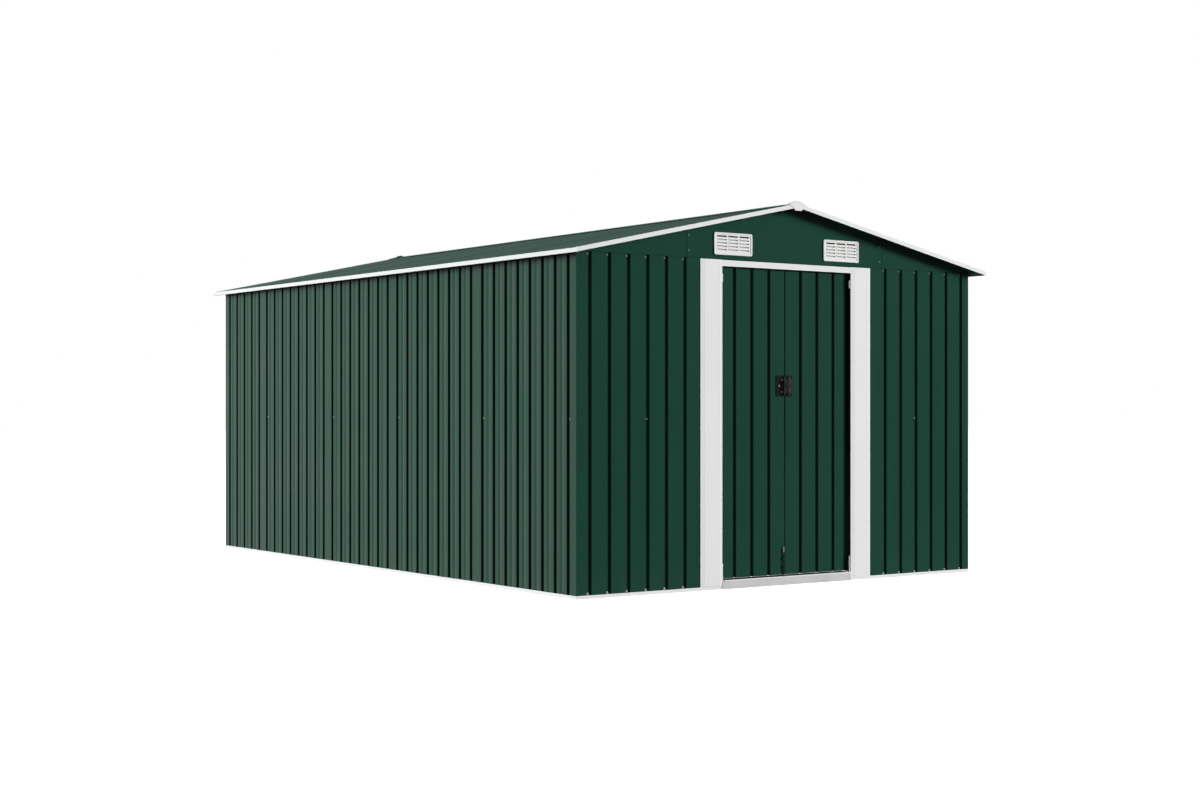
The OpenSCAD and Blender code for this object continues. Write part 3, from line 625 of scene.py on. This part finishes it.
def louvre(name, node, side):
    """side -1: on the front wall, +1: on the back wall."""
    lo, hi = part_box(node)
    w, h, t = 0.232, hi.z - lo.z, hi.y - lo.y
    cz = (lo.z + hi.z) / 2
    wall = (Y_FRONT if side < 0 else Y_BACK)
    bm = bmesh.new()
    for cx in ((lo.x + w / 2), (hi.x - w / 2)):
        # local x runs along the wall, y out of it, z up
        turn = Matrix.Rotation(math.pi, 4, "Z") if side < 0 else Matrix.Identity(4)
        base = Matrix.Translation(Vector((cx, wall, cz))) @ turn
        stand = base @ Matrix.Rotation(math.radians(90), 4, "X")
        slots = [(c * 0.068, r * 0.0155 + 0.0042) for c in (-1, 0, 1) for r in (-2, -1, 0, 1, 2)]
        loops = [rounded(w - 0.001, h - 0.001, 0.0085)]
        loops += [rounded(0.0575, 0.0068, 0.0014, x, z, 3) for x, z in slots]
        plate = flat_curve("plate", loops, 0.0016, 0.0006, stand @ Matrix.Translation(Vector((0, 0, -0.0026))))
        bm.from_mesh(plate)
        bpy.data.meshes.remove(plate)
        # raised rim round the field of slots
        rim = flat_curve("rim", [rounded(w, h, 0.009), rounded(w - 0.020, h - 0.017, 0.005)],
                         0.0016, 0.0012, stand @ Matrix.Translation(Vector((0, 0, -0.0042))))
        bm.from_mesh(rim)
        bpy.data.meshes.remove(rim)
        # a sloping hood over each slot, its lip turned down
        for x, z in slots:
            top = z + 0.0034
            drop = 0.0 if z < 0.030 else 0.0016       # the top row is the most open
            section = [(0.0040, top + 0.0054), (0.0052, top + 0.0046), (0.0064, top + 0.0010 + drop * 0.5),
                       (0.0062, top - 0.0016 + drop), (0.0054, top - 0.0018 + drop),
                       (0.0052, top + 0.0006 + drop * 0.5), (0.0040, top + 0.0034)]
            prism(bm, base @ Matrix.Translation(Vector((x, 0, 0))), section, 0.0285)
            # blade behind the slot that keeps rain out
            if z < 0.030:
                blade = [(-0.0012, z + 0.0050), (0.0002, z + 0.0054), (-0.0046, z - 0.0052), (-0.0060, z - 0.0050)]
                prism(bm, base @ Matrix.Translation(Vector((x, 0, 0))), blade, 0.0285)
    o = add_object(name, bm, MAT["plastic"], "shed", smooth=35)
    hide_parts(node)
    return o


louvre("louvres_front", "vents_front", -1)
louvre("louvres_back", "vents_back", 1)

# screws of the lock plates
hasp_lo, hasp_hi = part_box("hasp_left")
hz = (hasp_lo.z + hasp_hi.z) / 2
for body, s, name in (("left_leaf", -1, "lock_screws_left"), ("right_leaf", 1, "lock_screws_right")):
    bm = bmesh.new()
    for x, dz, k in ((0.0205, 0.0285, 1), (0.0375, 0.0, 2), (0.0205, -0.0285, 3)) if s < 0 else \
            ((0.0330, 0.0285, 4), (0.0125, 0.0, 5), (0.0330, -0.0285, 6)):
        pan_screw(bm, (s * x, Y_LEAF - 0.0031, hz + dz), (0, -1, 0), r=0.0046, h=0.0030, washer=0.0052, roll=0.7 * k)
    add_object(name, bm, MAT["screw"], body, smooth=40)

# ------------------------------------------------------------------ light ---
floor_mesh = bpy.data.meshes.new("floor")
fb = bmesh.new()
bmesh.ops.create_grid(fb, x_segments=24, y_segments=24, size=60.0)
fb.to_mesh(floor_mesh)
fb.free()
floor = bpy.data.objects.new("floor", floor_mesh)
floor.location = (0, 0, -0.0005)
scene.collection.objects.link(floor)
fm = Net("pale_floor")
fcol = fm.mix(fm.step(fm.noise(fm.coord.outputs["Object"], 3.0, 3.0), 0.3, 0.7), rgb(0.90, 0.90, 0.90), rgb(0.92, 0.92, 0.92))
fm.done(fcol, 0.9, specular=0.0)
fm.bsdf.inputs["Emission Color"].default_value = rgb(1, 1, 1)
fm.bsdf.inputs["Emission Strength"].default_value = 1.0
floor_mesh.materials.append(fm.mat)
floor.visible_glossy = False
floor.visible_diffuse = False

world = bpy.data.worlds.new("studio")
scene.world = world
world.use_nodes = True
wt = world.node_tree
wt.nodes.clear()


def wnode(kind):
    return wt.nodes.new(kind)


coord = wnode("ShaderNodeTexCoord")
sep = wnode("ShaderNodeSeparateXYZ")
wt.links.new(coord.outputs["Generated"], sep.inputs[0])


def wmath(op, a, b):
    n = wnode("ShaderNodeMath")
    n.operation = op
    for i, v in enumerate((a, b)):
        if isinstance(v, bpy.types.NodeSocket):
            wt.links.new(v, n.inputs[i])
        else:
            n.inputs[i].default_value = v
    return n.outputs[0]


def wramp(value, lo, hi, to_lo, to_hi):
    n = wnode("ShaderNodeMapRange")
    n.interpolation_type = "SMOOTHSTEP"
    wt.links.new(value, n.inputs["Value"])
    n.inputs["From Min"].default_value, n.inputs["From Max"].default_value = lo, hi
    n.inputs["To Min"].default_value, n.inputs["To Max"].default_value = to_lo, to_hi
    return n.outputs[0]


# pale studio walls: what the glossy paint mirrors is bright behind on the left,
# and the soft light from all round is low, so the two big lights model the sheet
behind = wmath("ADD", wmath("MULTIPLY", sep.outputs[0], -0.56), wmath("MULTIPLY", sep.outputs[1], 0.83))
far_end = wmath("MAXIMUM", wmath("ADD", wmath("MULTIPLY", sep.outputs[0], -0.25),
                                 wmath("MULTIPLY", sep.outputs[1], 0.97)), 0.0)
mirrored = wmath("ADD", wramp(behind, 0.10, 0.98, 0.12, 0.36),
                 wmath("MULTIPLY", wmath("POWER", far_end, 12.0), 0.66))
soft = wramp(sep.outputs[2], -0.5, 0.6, 0.10, 0.17)
rays = wnode("ShaderNodeLightPath")
strength = wmath("ADD", wmath("MULTIPLY", rays.outputs["Is Diffuse Ray"], soft),
                 wmath("MULTIPLY", wmath("SUBTRACT", 1.0, rays.outputs["Is Diffuse Ray"]), mirrored))
lit = wnode("ShaderNodeBackground")
lit.inputs["Color"].default_value = rgb(1, 1, 1)
wt.links.new(strength, lit.inputs["Strength"])
seen = wnode("ShaderNodeBackground")
seen.inputs["Color"].default_value = rgb(1, 1, 1)
seen.inputs["Strength"].default_value = 1.0
path = wnode("ShaderNodeLightPath")
pick = wnode("ShaderNodeMixShader")
wt.links.new(path.outputs["Is Camera Ray"], pick.inputs[0])
wt.links.new(lit.outputs[0], pick.inputs[1])
wt.links.new(seen.outputs[0], pick.inputs[2])
wout = wnode("ShaderNodeOutputWorld")
wt.links.new(pick.outputs[0], wout.inputs[0])


def softbox(name, at, towards, size, power):
    light = bpy.data.lights.new(name, "AREA")
    light.shape, light.size, light.energy = "DISK", size, power
    o = bpy.data.objects.new(name, light)
    o.location = at
    o.rotation_euler = (Vector(towards) - Vector(at)).to_track_quat("-Z", "Y").to_euler()
    scene.collection.objects.link(o)
    return o


# key: low on the right of the doors; fill: high on the left of the long wall.
# Both are soft and stay out of the mirror image in the paint.
key = softbox("key", (27.3, -30.1, 8.5), (0.0, -1.9, 0.9), 13.0, 19600.0)
fill = softbox("fill", (-16.9, 3.6, 7.6), (-1.24, 0.0, 0.9), 9.0, 3860.0)
for o in (key, fill):
    o.visible_glossy = False

# ----------------------------------------------------------------- camera ---
cam_data = bpy.data.cameras.new("camera")
cam_data.sensor_width = 36.0
cam_data.lens = 55.754
cam_data.shift_x = 0.0078
cam_data.shift_y = 0.00697
cam_data.clip_end = 200.0
cam = bpy.data.objects.new("camera", cam_data)
cam.location = (-5.9114, -8.6654, 0.8487)
cam.rotation_euler = (math.radians(90), 0.0, -0.6111)
scene.collection.objects.link(cam)
scene.camera = cam
scene.view_settings.view_transform = "Standard"
scene.view_settings.look = "None"

bpy.context.view_layer.update()
